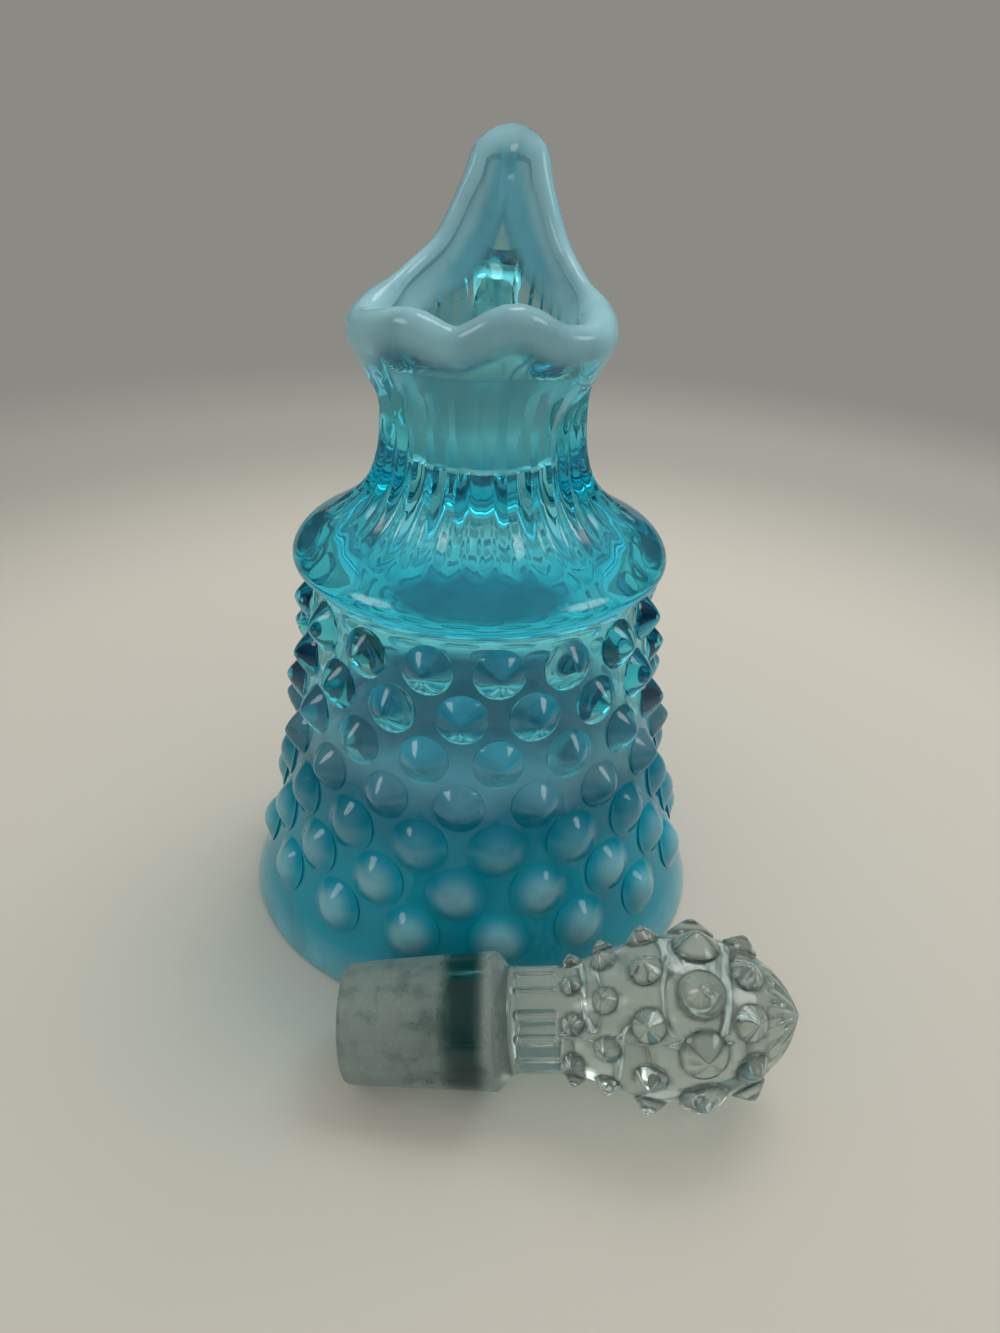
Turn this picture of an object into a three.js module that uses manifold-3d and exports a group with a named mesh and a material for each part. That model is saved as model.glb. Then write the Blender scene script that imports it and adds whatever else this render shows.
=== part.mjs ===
// Hobnail glass cruet: a pressed glass bottle with a drawn three-cornered lip, an applied handle at the back,
// and its ground glass stopper, which lies on the table in front of it.
// Millimetres, +Z up. The origin is on the bottle's axis, at the height of the table, and the camera side is -Y.
import * as THREE from "three";
import { mergeVertices } from "three/addons/utils/BufferGeometryUtils.js";
import Module from "manifold-3d";

// Body: a bell that flares to a rounded foot
const footRadius = 47;
const footCorner = 1.2;
const footRingWidth = 8;
const undersideRecess = 0.8;
const bodyTopRadius = 31.4;
const bodyTopHeight = 72.8;
const bodyTaper = 9;
const flareRate = 3;
const bodyWall = 5;
const floorThickness = 6;
const floorRound = 6;
const shoulderDepth = 7;
const shoulderPull = 0.42;

// Hobnails: pointed knobs in staggered rows
const knobsPerRow = 16;
const knobRows = 7;
const knobBaseRadius = 4.7;
const knobHeight = 3.5;
const knobSides = 8;
const knobSink = 0.8;
const firstKnobHeight = 14.5;
const knobRowPitch = 8.6;
const knobTurn = 7;

// Collar: the thick smooth ring on the shoulder
const collarRadius = 35.7;
const collarThickness = 4.7;
const collarHeight = 76.9;
const collarNose = 2.5;

// Neck: a waist with upright ribs that run out over the collar
const neckRadius = 18.3;
const neckHeight = 102;
const neckSweepHeight = 14;
const neckSweepRise = 5.3;
const neckSweepInset = 2;
const ribCount = 28;
const ribDepth = 0.45;

// Flare: how the neck opens into the lip, as shares of the rise from the waist to the rim
const flareStart = 0.42;
const flareEnd = 0.26;
const ribbedFlareSteps = [0.16, 0.32, 0.5];
const smoothFlareSteps = [0.72, 1];
const ribFadeShare = 0.6;

// Bore, ground to the stopper's taper
const boreClearance = 0.15;
const boreTopHeight = 113;
const boreLength = 17;
const boreLedge = 1;

// Lip: a rolled edge drawn to a tall corner at the back and two low corners at the sides
const lipRoll = 3.4;
const lipTurn = 10;
const lipReach = 24.2;
const lipRise = 43.4;
const rearRoll = 2.5;
const rearFold = 1.4;
const lipWallPull = 0.4;
const tipWidth = 7;
const tipDrop = 2.4;
const rearStart = -2;
const rearFull = 6;
// the rim seen from above, all round from the tall corner: degrees, share of the reach, share of the rise
const lipStations = [
  { angle: 0, reach: 1, rise: 1 },
  { angle: 10.5, reach: 0.95, rise: 0.954 },
  { angle: 17, reach: 0.851, rise: 0.829 },
  { angle: 37, reach: 0.694, rise: 0.604 },
  { angle: 64, reach: 0.661, rise: 0.505 },
  { angle: 113, reach: 0.876, rise: 0.369 },
  { angle: 152, reach: 0.802, rise: 0.424 },
  { angle: 175, reach: 0.756, rise: 0.373 },
  { angle: 204, reach: 0.785, rise: 0.468 },
  { angle: 228, reach: 0.818, rise: 0.382 },
  { angle: 248, reach: 0.88, rise: 0.373 },
  { angle: 268, reach: 0.785, rise: 0.429 },
  { angle: 296, reach: 0.661, rise: 0.512 },
  { angle: 323, reach: 0.694, rise: 0.622 },
  { angle: 343, reach: 0.851, rise: 0.829 },
  { angle: 349.5, reach: 0.95, rise: 0.954 },
];

// Handle: a rod of glass applied under the tall corner and let down onto the collar
const handleWidth = 8.6;
const handleDepth = 7;
const handleTurn = 5;
const handleReach = 46;
const handleTopHeight = 116;
const handleCrownRise = 5;
const handleHeadSink = 0.9;
const handleHeadSlope = 2;
const handleHeadReach = 4.2;
const handleBendInset = 3;
const handleBendDrop = 4;
const handleLowBendInset = 4;
const handleLowBendRise = 11;
const handleFootRadius = 30;
const handleFootSlope = 2;
const handleFootRise = 3;
const handleFootSink = 1;
const handleFootSpread = 1.35;
const handleHeadSpread = 1.3;
const handleSpreadShare = 0.2;
const seatGap = 0.05;

// Stopper: a ground plug, a fluted stem and a knobbed finial with a cut point
const plugLength = 26.4;
const plugRadius = 11.8;
const plugEndRadius = 10.3;
const plugEndRound = 1.6;
const plugShoulder = 2.3;
const stemRadius = 9;
const stemLength = 8.4;
const stemFillet = 0.6;
const fluteEnd = 0.9;
const fluteCount = 14;
const fluteDepth = 0.8;
const finialRadius = 14;
const finialLength = 34.5;
const finialWidestShare = 0.62;
const finialLowCurve = 1.4;
const finialHighCurve = 0.8;
const pointRadius = 9.9;
const pointLength = 6.8;
const pointFacetDepth = 0.5;
const pointFacetShare = 0.7;
const pointFacetWidth = 0.52;
const finialKnobs = 9;
const finialKnobRadius = 4.1;
const finialKnobHeight = 2.8;
// rings of knobs: share of the finial's length, and shares of the big knob's radius and height
const finialRings = [
  { along: 0.08, width: 0.46, height: 0.54 },
  { along: 0.24, width: 0.56, height: 0.68 },
  { along: 0.44, width: 0.71, height: 0.75 },
  { along: 0.69, width: 1, height: 1 },
  { along: 0.92, width: 0.76, height: 0.82 },
];
const restingRing = 3;
const stopperYaw = -2.6;
const stopperEndX = -21.4;
const stopperGap = 1.1;

// the one point between the ends of a small round, as a share of its radius
const roundShare = 0.3;
const bodySides = 2 * ribCount;
const neckSides = 4 * ribCount;
const rad = THREE.MathUtils.degToRad;
const neckStep = (2 * Math.PI) / neckSides;
const backShift = Math.round((Math.PI - rad(lipTurn)) / neckStep);
const lipBack = backShift * neckStep;
const up = new THREE.Vector3(0, 0, 1);
const wasm = await Module();
wasm.setup();

// A point at a height, a distance from the axis, and an azimuth counted from -Y towards +X
function polar(radius, azimuth, height) {
  return new THREE.Vector3(radius * Math.sin(azimuth), -radius * Math.cos(azimuth), height);
}

function circle(radius, height, sides) {
  return Array.from({ length: sides }, (_, k) => polar(radius, (k * 2 * Math.PI) / sides, height));
}

// Joins rings of points, from the bottom of the outside to the bottom of the inside, into one closed surface.
// A ring may have one point, as many as the ring before it, half as many or twice as many.
function skin(rings) {
  const positions = rings.flat().flatMap((p) => p.toArray());
  const faces = [];
  let start = 0;
  for (let k = 0; k + 1 < rings.length; k++) {
    const low = rings[k].length;
    const high = rings[k + 1].length;
    const a = (j) => start + (j % low);
    const b = (j) => start + low + (j % high);
    const steps = Math.min(low, high) === 1 ? Math.max(low, high) : Math.min(low, high);
    for (let j = 0; j < steps; j++) {
      if (low === 1) faces.push(a(0), b(j + 1), b(j));
      else if (high === 1) faces.push(a(j), a(j + 1), b(0));
      else if (low === high) faces.push(a(j), a(j + 1), b(j + 1), a(j), b(j + 1), b(j));
      else if (high > low) {
        faces.push(a(j), b(2 * j + 1), b(2 * j), a(j), a(j + 1), b(2 * j + 1));
        faces.push(a(j + 1), b(2 * j + 2), b(2 * j + 1));
      } else {
        faces.push(a(2 * j), a(2 * j + 1), b(j), a(2 * j + 1), b(j + 1), b(j));
        faces.push(a(2 * j + 1), a(2 * j + 2), b(j + 1));
      }
    }
    start += low;
  }
  const geometry = new THREE.BufferGeometry();
  geometry.setAttribute("position", new THREE.Float32BufferAttribute(positions, 3));
  geometry.setIndex(faces);
  return geometry;
}

function toSolid(geometry) {
  const bare = geometry.clone();
  bare.deleteAttribute("normal");
  bare.deleteAttribute("uv");
  const merged = mergeVertices(bare, 1e-5);
  const vertProperties = Float32Array.from(merged.attributes.position.array);
  const triVerts = Uint32Array.from(merged.index.array);
  return new wasm.Manifold(new wasm.Mesh({ numProp: 3, vertProperties, triVerts }));
}

function toGeometry(solid) {
  const mesh = solid.getMesh();
  const geometry = new THREE.BufferGeometry();
  geometry.setAttribute("position", new THREE.BufferAttribute(Float32Array.from(mesh.vertProperties), 3));
  geometry.setIndex(new THREE.BufferAttribute(Uint32Array.from(mesh.triVerts), 1));
  geometry.computeVertexNormals();
  return geometry;
}

// A pointed knob on a surface: its base is sunk by sinkDepth, and it points along outward
function knob(baseRadius, height, sides, place, outward, sinkDepth) {
  const slope = baseRadius / height;
  const cone = new THREE.ConeGeometry(baseRadius + slope * sinkDepth, height + sinkDepth, sides);
  cone.translate(0, (height - sinkDepth) / 2, 0);
  const turn = new THREE.Quaternion().setFromUnitVectors(new THREE.Vector3(0, 1, 0), outward);
  cone.applyQuaternion(turn);
  cone.translate(place.x, place.y, place.z);
  return toSolid(cone);
}

// The outside of the bell at a height: a straight taper and a flare that grows towards the foot
function bodyRadius(height) {
  const down = (bodyTopHeight - height) / (bodyTopHeight - footCorner);
  const flare = footRadius - bodyTopRadius - bodyTaper;
  return bodyTopRadius + bodyTaper * down + flare * down ** flareRate;
}

function bodyOutward(height, azimuth) {
  const step = 0.5;
  const rise = (bodyRadius(height - step) - bodyRadius(height + step)) / (2 * step);
  return polar(1, azimuth, rise).normalize();
}

// Points (distance from the axis, height) up the outside, from the underside's centre to the collar's top
function outerProfile(grow) {
  const profile = [];
  const ringInner = footRadius - footCorner - footRingWidth;
  profile.push([ringInner - 2 * undersideRecess, undersideRecess], [ringInner, 0]);
  for (let k = 0; k <= 3; k++) {
    const bend = (k * Math.PI) / 6;
    const radius = footRadius - footCorner * (1 - Math.sin(bend));
    profile.push([radius + grow, footCorner * (1 - Math.cos(bend))]);
  }
  const wallSteps = 7;
  for (let k = 1; k <= wallSteps; k++) {
    const height = footCorner + ((bodyTopHeight - footCorner) * k) / wallSteps;
    profile.push([bodyRadius(height) + grow, height]);
  }
  const noseSteps = 5;
  for (let k = 0; k <= noseSteps; k++) {
    const bend = -Math.PI / 2 + (k * Math.PI) / noseSteps;
    const radius = collarRadius - collarNose * (1 - Math.cos(bend));
    profile.push([radius + grow, collarHeight + (collarThickness / 2) * Math.sin(bend)]);
  }
  return profile;
}

// The neck's outside, from the collar's top to the waist
function neckCurve() {
  const from = new THREE.Vector2(collarRadius - collarNose, collarHeight + collarThickness / 2);
  const over = new THREE.Vector2((from.x + neckRadius) / 2 - neckSweepInset, from.y + neckSweepRise);
  const under = new THREE.Vector2(neckRadius, neckHeight - neckSweepHeight);
  const to = new THREE.Vector2(neckRadius, neckHeight);
  return new THREE.CubicBezierCurve(from, over, under, to);
}

function ribWave(azimuth) {
  return ribDepth * Math.cos(ribCount * azimuth);
}

// Ribs fade in over the collar and are full on the neck
function ribbedRing(radius, height, strength) {
  return Array.from({ length: neckSides }, (_, k) => {
    const azimuth = k * neckStep;
    return polar(radius + strength * ribWave(azimuth), azimuth, height);
  });
}

// The middle of the rolled rim: a closed curve through the stations
function rimPoints(count) {
  const stations = lipStations.map((s) =>
    polar(s.reach * lipReach, lipBack + rad(s.angle), neckHeight + s.rise * lipRise));
  const curve = new THREE.CatmullRomCurve3(stations, true, "centripetal");
  curve.arcLengthDivisions = 2000;
  return Array.from({ length: count }, (_, k) => ({
    middle: curve.getPointAt(k / count),
    along: curve.getTangentAt(k / count),
  }));
}

function bezier(from, fromHandle, toHandle, to, t) {
  return new THREE.CubicBezierCurve3(from, fromHandle, toHandle, to).getPoint(t);
}

// Where the lip's columns stand, from the tall corner round: on the neck, on the rim and on the bore
function lipColumns(grow) {
  const backward = polar(1, lipBack, 0);
  const sideways = new THREE.Vector3().crossVectors(up, backward);
  return rimPoints(neckSides).map(({ middle, along }, k) => {
    const azimuth = lipBack + k * neckStep;
    const crest = up.clone().addScaledVector(along, -up.dot(along)).normalize();
    const outward = new THREE.Vector3().crossVectors(along, crest).normalize();
    const aside = Math.abs(middle.dot(sideways));
    const rear = THREE.MathUtils.smoothstep(middle.dot(backward), rearStart, rearFull);
    const nearTip = rear * (1 - THREE.MathUtils.smoothstep(aside, 0, tipWidth));
    const roll = THREE.MathUtils.lerp(lipRoll, rearRoll, rear);
    const fold = THREE.MathUtils.lerp(lipRoll, Math.min(rearFold, aside), rear);
    const inward = outward.clone().multiplyScalar(-fold)
      .addScaledVector(up, -tipDrop * nearTip)
      .addScaledVector(backward, -lipRoll * nearTip);
    const onNeck = polar(neckRadius + grow, azimuth, neckHeight);
    const onBore = polar(plugRadius + boreClearance, azimuth, boreTopHeight);
    const outside = middle.clone().addScaledVector(outward, roll + grow);
    const inside = middle.clone().add(inward);
    return { azimuth, middle, crest, outward, inward, roll, rear, onNeck, onBore, outside, inside };
  });
}

// A point on the flare's outside: t is 0 on the neck and 1 on the rim
function onFlare(column, t) {
  const rise = column.outside.z - column.onNeck.z;
  const start = column.onNeck.clone().addScaledVector(up, rise * flareStart);
  const end = column.outside.clone().addScaledVector(up, -rise * flareEnd);
  return bezier(column.onNeck, start, end, column.outside, t);
}

// How far the flare's outside stands from the axis under the tall corner, at a height
function backWallRadius(height) {
  const tallCorner = lipColumns(0)[0];
  const samples = 60;
  let point = onFlare(tallCorner, 0);
  for (let k = 1; k <= samples && point.z < height; k++) point = onFlare(tallCorner, k / samples);
  return Math.hypot(point.x, point.y);
}

// The rings of the lip: up the outside, over the roll and down the inside to the bore. The flare's rings have
// ribs that fade upwards, and every second column goes on into the smooth roll.
function lipRings(grow) {
  const columns = lipColumns(grow);
  const smooth = columns.filter((_, k) => (k + backShift) % 2 === 0);
  const rings = [];
  for (const t of ribbedFlareSteps) {
    const strength = 1 - t / ribFadeShare;
    rings.push(columns.map((c) => onFlare(c, t).add(polar(ribWave(c.azimuth) * strength, c.azimuth, 0))));
  }
  for (const t of smoothFlareSteps) rings.push(smooth.map((c) => onFlare(c, t)));
  const rollSteps = 4;
  for (let k = 1; k < rollSteps; k++) {
    const bend = (k * Math.PI) / rollSteps;
    rings.push(smooth.map((c) => {
      const side = c.inward.clone().negate();
      if (bend < Math.PI / 2) side.copy(c.outward).multiplyScalar(c.roll + grow);
      return c.middle.clone()
        .addScaledVector(side, Math.cos(bend))
        .addScaledVector(c.crest, (c.roll + grow) * Math.sin(bend));
    }));
  }
  const wallSteps = 4;
  for (let k = wallSteps; k >= 0; k--) {
    rings.push(smooth.map((c) => {
      const rise = Math.max(c.inside.z - c.onBore.z, boreLedge) * lipWallPull;
      const start = c.onBore.clone().addScaledVector(up, rise);
      const straight = c.inside.clone().lerp(c.onBore, lipWallPull);
      const end = c.inside.clone().addScaledVector(up, -rise).lerp(straight, c.rear);
      return bezier(c.onBore, start, end, c.inside, k / wallSteps);
    }));
  }
  return rings;
}

// Points down the inside, from the foot of the ground bore to the cavity's floor
function innerProfile() {
  const profile = [];
  const boreFoot = boreTopHeight - boreLength;
  const taper = (plugRadius - plugEndRadius) / plugLength;
  const boreFootRadius = plugRadius + boreClearance - taper * boreLength;
  profile.push([boreFootRadius, boreFoot]);
  const shoulderTop = new THREE.Vector2(plugRadius, boreFoot - boreLedge);
  const shoulderFootHeight = bodyTopHeight - shoulderDepth;
  const shoulderFoot = new THREE.Vector2(bodyRadius(shoulderFootHeight) - bodyWall, shoulderFootHeight);
  const pull = (shoulderTop.y - shoulderFoot.y) * shoulderPull;
  const shoulder = new THREE.CubicBezierCurve(
    shoulderTop,
    new THREE.Vector2(shoulderTop.x, shoulderTop.y - pull),
    new THREE.Vector2(shoulderFoot.x, shoulderFoot.y + pull),
    shoulderFoot,
  );
  for (const p of shoulder.getPoints(6)) profile.push([p.x, p.y]);
  const floor = undersideRecess + floorThickness;
  const wallSteps = 4;
  for (let k = 1; k <= wallSteps; k++) {
    const height = shoulderFoot.y + ((floor + floorRound - shoulderFoot.y) * k) / wallSteps;
    profile.push([bodyRadius(height) - bodyWall, height]);
  }
  const floorRadius = profile[profile.length - 1][0];
  profile.push([floorRadius - floorRound * roundShare, floor + floorRound * roundShare]);
  profile.push([floorRadius - floorRound, floor]);
  return profile;
}

// Bottle without knobs; grow swells its outside, to cut a seat that keeps clear of it
function bottleRings(grow) {
  const rings = [[new THREE.Vector3(0, 0, undersideRecess)]];
  for (const [radius, height] of outerProfile(grow)) rings.push(circle(radius, height, bodySides));
  const curve = neckCurve();
  const neckSteps = 7;
  for (let k = 1; k <= neckSteps; k++) {
    const p = curve.getPoint(k / neckSteps);
    const strength = THREE.MathUtils.smoothstep(k, 0, 3);
    rings.push(ribbedRing(p.x + grow, p.y, strength));
  }
  const turned = (ring) => {
    const shift = Math.ceil((backShift * ring.length) / neckSides);
    return ring.map((_, j) => ring[(j - shift + ring.length) % ring.length]);
  };
  for (const ring of lipRings(grow)) rings.push(turned(ring));
  for (const [radius, height] of innerProfile()) rings.push(circle(radius, height, bodySides));
  rings.push([new THREE.Vector3(0, 0, undersideRecess + floorThickness)]);
  return rings;
}

function hobnails() {
  const knobs = [];
  const halfStep = Math.PI / knobsPerRow;
  for (let row = 0; row < knobRows; row++) {
    const height = firstKnobHeight + row * knobRowPitch;
    for (let k = 0; k < knobsPerRow; k++) {
      const azimuth = rad(knobTurn) + (2 * k + (row % 2)) * halfStep;
      const place = polar(bodyRadius(height), azimuth, height);
      knobs.push(knob(knobBaseRadius, knobHeight, knobSides, place, bodyOutward(height, azimuth), knobSink));
    }
  }
  return knobs;
}

function bottle() {
  const walls = toSolid(skin(bottleRings(0)));
  return toGeometry(wasm.Manifold.union([walls, ...hobnails()]));
}

// Rings of an oval section along a path in the upright plane through the axis at the given azimuth
function sweptRod(path, azimuth, steps, spreadAt) {
  const across = polar(1, azimuth, 0).cross(up).negate();
  const sides = 12;
  const rings = [[path.getPointAt(0)]];
  for (let k = 0; k <= steps; k++) {
    const middle = path.getPointAt(k / steps);
    const along = path.getTangentAt(k / steps);
    const depthways = new THREE.Vector3().crossVectors(along, across).normalize();
    const spread = spreadAt(k / steps);
    rings.push(Array.from({ length: sides }, (_, j) => {
      const turn = (j * 2 * Math.PI) / sides;
      return middle.clone()
        .addScaledVector(across, (spread * handleWidth * Math.cos(turn)) / 2)
        .addScaledVector(depthways, (spread * handleDepth * Math.sin(turn)) / 2);
    }));
  }
  rings.push([path.getPointAt(1)]);
  return rings;
}

function handle() {
  const azimuth = Math.PI - rad(handleTurn);
  const collarTop = collarHeight + collarThickness / 2;
  const at = (radius, height) => polar(radius, azimuth, height);
  const headRadius = backWallRadius(handleTopHeight) - handleHeadSink;
  const crownRadius = (headRadius + handleReach) / 2;
  const crownHeight = handleTopHeight + handleCrownRise;
  const path = new THREE.CatmullRomCurve3([
    at(headRadius, handleTopHeight - handleHeadSlope),
    at(headRadius + handleHeadReach, handleTopHeight + handleHeadSlope),
    at(crownRadius, crownHeight),
    at(handleReach - handleBendInset, (crownHeight + handleTopHeight) / 2 - handleBendDrop),
    at(handleReach, (handleTopHeight + collarHeight) / 2 + handleBendDrop),
    at(handleReach - handleLowBendInset, collarTop + handleLowBendRise),
    at(handleFootRadius + handleFootSlope, collarTop + handleFootRise),
    at(handleFootRadius, collarTop - handleFootSink),
  ], false, "centripetal");
  const spreadAt = (t) => {
    const atHead = 1 - THREE.MathUtils.smoothstep(t, 0, handleSpreadShare);
    const atFoot = THREE.MathUtils.smoothstep(t, 1 - handleSpreadShare, 1);
    return 1 + (handleHeadSpread - 1) * atHead + (handleFootSpread - 1) * atFoot;
  };
  const rod = toSolid(skin(sweptRod(path, azimuth, 22, spreadAt)));
  const seat = toSolid(skin(bottleRings(seatGap)));
  return toGeometry(rod.subtract(seat));
}

// Stopper, drawn standing on its plug with its axis on Z
const stemStart = plugLength + plugShoulder;
const finialStart = stemStart + stemLength;
const stopperLength = finialStart + finialLength + pointLength;
// the side of the stopper that is turned down when it lies
const finialDown = Math.PI / 2;

// The egg shape of the finial, from the stem to the cut point
function finialBody(along) {
  const low = along < finialWidestShare;
  const end = low ? stemRadius : pointRadius;
  const share = low ? along / finialWidestShare : (1 - along) / (1 - finialWidestShare);
  const curve = low ? finialLowCurve : finialHighCurve;
  return end + (finialRadius - end) * Math.sin((share * Math.PI) / 2) ** curve;
}

function flutedRing(radius, height, depth) {
  return Array.from({ length: 2 * fluteCount }, (_, k) =>
    polar(radius - (k % 2) * depth, (k * Math.PI) / fluteCount, height));
}

function stopperRings() {
  const sides = 2 * fluteCount;
  const rings = [[new THREE.Vector3(0, 0, 0)]];
  rings.push(circle(plugEndRadius - plugEndRound, 0, sides));
  rings.push(circle(plugEndRadius - plugEndRound * roundShare, plugEndRound * roundShare, sides));
  rings.push(circle(plugEndRadius, plugEndRound, sides), circle(plugRadius, plugLength, sides));
  rings.push(flutedRing(stemRadius + stemFillet, stemStart, 0));
  rings.push(flutedRing(stemRadius, stemStart + fluteEnd, fluteDepth));
  rings.push(flutedRing(stemRadius, finialStart - fluteEnd, fluteDepth));
  const steps = 9;
  for (let k = 0; k <= steps; k++) {
    const along = k / steps;
    rings.push(circle(finialBody(along), finialStart + along * finialLength, sides));
  }
  const facets = finialStart + finialLength + pointLength * pointFacetShare;
  rings.push(flutedRing(pointRadius * pointFacetWidth, facets, pointFacetDepth));
  rings.push([new THREE.Vector3(0, 0, stopperLength)]);
  return rings;
}

function ringKnobs() {
  const knobs = [];
  const halfStep = Math.PI / finialKnobs;
  finialRings.forEach((ring, row) => {
    const height = finialStart + ring.along * finialLength;
    const step = 0.02;
    const rise = (finialBody(ring.along - step) - finialBody(ring.along + step)) / (2 * step * finialLength);
    for (let k = 0; k < finialKnobs; k++) {
      const azimuth = finialDown + (2 * k + 1 + ((row + restingRing) % 2)) * halfStep;
      const place = polar(finialBody(ring.along), azimuth, height);
      const outward = polar(1, azimuth, rise).normalize();
      const radius = ring.width * finialKnobRadius;
      knobs.push(knob(radius, ring.height * finialKnobHeight, knobSides, place, outward, knobSink));
    }
  });
  return knobs;
}

function stopper() {
  const core = toSolid(skin(stopperRings()));
  return toGeometry(wasm.Manifold.union([core, ...ringKnobs()]));
}

// How the stopper lies: on the plug's small rim and on the lowest knobs of the ring that lifts it most
function restingPlace() {
  const halfStep = Math.PI / finialKnobs;
  const tilts = finialRings.map((ring, row) => {
    const straddles = (row + restingRing) % 2 === 0;
    const tipRadius = finialBody(ring.along) + ring.height * finialKnobHeight;
    const reach = straddles ? tipRadius * Math.cos(halfStep) : tipRadius;
    return Math.atan((reach - plugEndRadius) / (finialStart + ring.along * finialLength - plugEndRound));
  });
  const tilt = Math.max(...tilts);
  const endY = -(footRadius + stopperGap + plugRadius) - plugLength * Math.cos(tilt) * Math.sin(rad(stopperYaw));
  const endZ = plugEndRadius * Math.cos(tilt) - plugEndRound * Math.sin(tilt);
  return { tilt, position: new THREE.Vector3(stopperEndX, endY, endZ) };
}

function glass(color, roughness, opacity) {
  return new THREE.MeshStandardMaterial({ color, roughness, metalness: 0, transparent: true, opacity });
}

const cruet = new THREE.Group();
const bottleMesh = new THREE.Mesh(bottle(), glass(0x3f9fb4, 0.08, 0.8));
bottleMesh.name = "bottle";
const handleMesh = new THREE.Mesh(handle(), glass(0x2a8fa8, 0.06, 0.6));
handleMesh.name = "handle";
const stopperMesh = new THREE.Mesh(stopper(), glass(0xd8e2de, 0.15, 0.5));
stopperMesh.name = "stopper";

const lying = restingPlace();
const stopperGroup = new THREE.Group();
stopperGroup.position.copy(lying.position);
stopperGroup.rotation.z = rad(stopperYaw);
stopperMesh.rotation.y = Math.PI / 2 - lying.tilt;
stopperGroup.add(stopperMesh);
cruet.add(bottleMesh, handleMesh, stopperGroup);

export default cruet;
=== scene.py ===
"""Looks of the hobnail glass cruet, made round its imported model.
Metres, +Z up, the origin on the bottle's axis at the height of the table, and the camera on the -Y side."""

import math

import bpy
import numpy as np
from mathutils import Matrix, Vector


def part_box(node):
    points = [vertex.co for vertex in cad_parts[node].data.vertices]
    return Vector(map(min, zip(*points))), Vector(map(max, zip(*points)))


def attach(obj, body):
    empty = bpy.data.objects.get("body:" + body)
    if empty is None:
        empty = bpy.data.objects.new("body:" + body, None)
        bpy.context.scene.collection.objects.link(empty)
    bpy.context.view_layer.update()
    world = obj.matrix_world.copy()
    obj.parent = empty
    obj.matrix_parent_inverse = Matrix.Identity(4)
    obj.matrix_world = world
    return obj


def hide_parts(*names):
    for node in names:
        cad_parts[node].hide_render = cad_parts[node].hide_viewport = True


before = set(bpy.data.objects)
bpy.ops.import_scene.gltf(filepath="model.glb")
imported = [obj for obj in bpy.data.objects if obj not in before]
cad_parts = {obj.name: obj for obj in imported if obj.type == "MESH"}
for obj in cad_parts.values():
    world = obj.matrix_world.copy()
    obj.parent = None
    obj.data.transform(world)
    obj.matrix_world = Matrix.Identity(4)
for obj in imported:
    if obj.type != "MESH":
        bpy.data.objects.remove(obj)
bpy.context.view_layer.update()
MM = 0.001
UP = Vector((0, 0, 1))

# Bottle: bell, collar and neck
FOOT_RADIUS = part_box("bottle")[1].x
FOOT_CORNER = 1.2 * MM
FOOT_RING = 8 * MM
UNDERSIDE_RECESS = 0.8 * MM
BODY_TOP_RADIUS = 31.4 * MM
BODY_TOP = 72.8 * MM
BODY_TAPER = 9 * MM
WALL = 5 * MM
FLOOR = 6 * MM
FLOOR_ROUND = 6 * MM
# the cavity narrows towards the bore from here up, and the pull sets how round its shoulder is
CAVITY_SHOULDER = BODY_TOP - 10 * MM
SHOULDER_PULL = 0.42
# the groove under the collar: out from the bell's top and up from it, in mm
COLLAR_GROOVE = ((0.5, 1.1), (1.6, 1.8))
COLLAR_RADIUS = 35.7 * MM
COLLAR_EDGE = 74.9 * MM
COLLAR_TOP = 79.3 * MM
# the collar's round nose starts and ends this far inside its radius
NOSE_LOW_INSET = 0.9 * MM
NOSE_HIGH_INSET = 2.3 * MM
NOSE_BULGE = 2.1 * MM
NECK_RADIUS = 18.3 * MM
NECK_TOP = 102 * MM
# the curve from nose to neck leans on points this far above the collar and below the neck's top
SLOPE_PULL = 5.2 * MM
NECK_PULL = 14 * MM
RIBS = 28
RIB_DEPTH = 0.5 * MM
# the ribs run out on the collar between these distances from the axis
RIBS_FULL = 25.5 * MM
RIBS_END = 30.5 * MM
COLUMNS = 6 * RIBS
SEAM_COLUMN = -3
SEAM_HEIGHT = 0.12 * MM
# where a turned solid starts and ends, because its rings can't shrink to nothing
CENTRE = 1 * MM

# Hobnails
KNOBS_PER_ROW = 16
KNOB_ROWS = 7
SOFT_ROWS = 3
KNOB_RADIUS = 4.7 * MM
KNOB_HEIGHT = 3.5 * MM
KNOB_SINK = 1.2 * MM
FIRST_ROW = 14.5 * MM
ROW_PITCH = 8.6 * MM
FIRST_KNOB_TURN = math.radians(7)
KNOB_SIDES = 40

# Ground bore
BORE_TOP = 113 * MM
BORE_LENGTH = 17 * MM
BORE_RADIUS = 11.95 * MM
BORE_FOOT_RADIUS = 10.98 * MM
BORE_LEDGE = 1 * MM
# just below its foot the bore opens again, almost to its top radius
UNDERCUT_INSET = 0.2 * MM
UNDERCUT_DROP = 0.9 * MM

# Lip: a rolled rim, thinner at the rear, with a ridge inside it that meets in a V at the tall corner's tip
LIP_BACK_COLUMN = 79.5
LIP_BACK = LIP_BACK_COLUMN * 2 * math.pi / COLUMNS
LIP_ROLL = 3.4 * MM
REAR_ROLL = 2.5 * MM
REAR_FOLD = 1.4 * MM
# the rim thins between these distances behind the axis
REAR_START = -2 * MM
REAR_FULL = 6 * MM
# the neck's ribs fade out between these shares of the flare
RIBS_FADE = (0.3, 0.75)
RIDGE_BACK = 0.9 * MM
RIDGE_DROP = 0.6 * MM
TIP_WIDTH = 7 * MM
TIP_DROP = 3.6 * MM
TIP_FILL = 3 * MM
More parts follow.
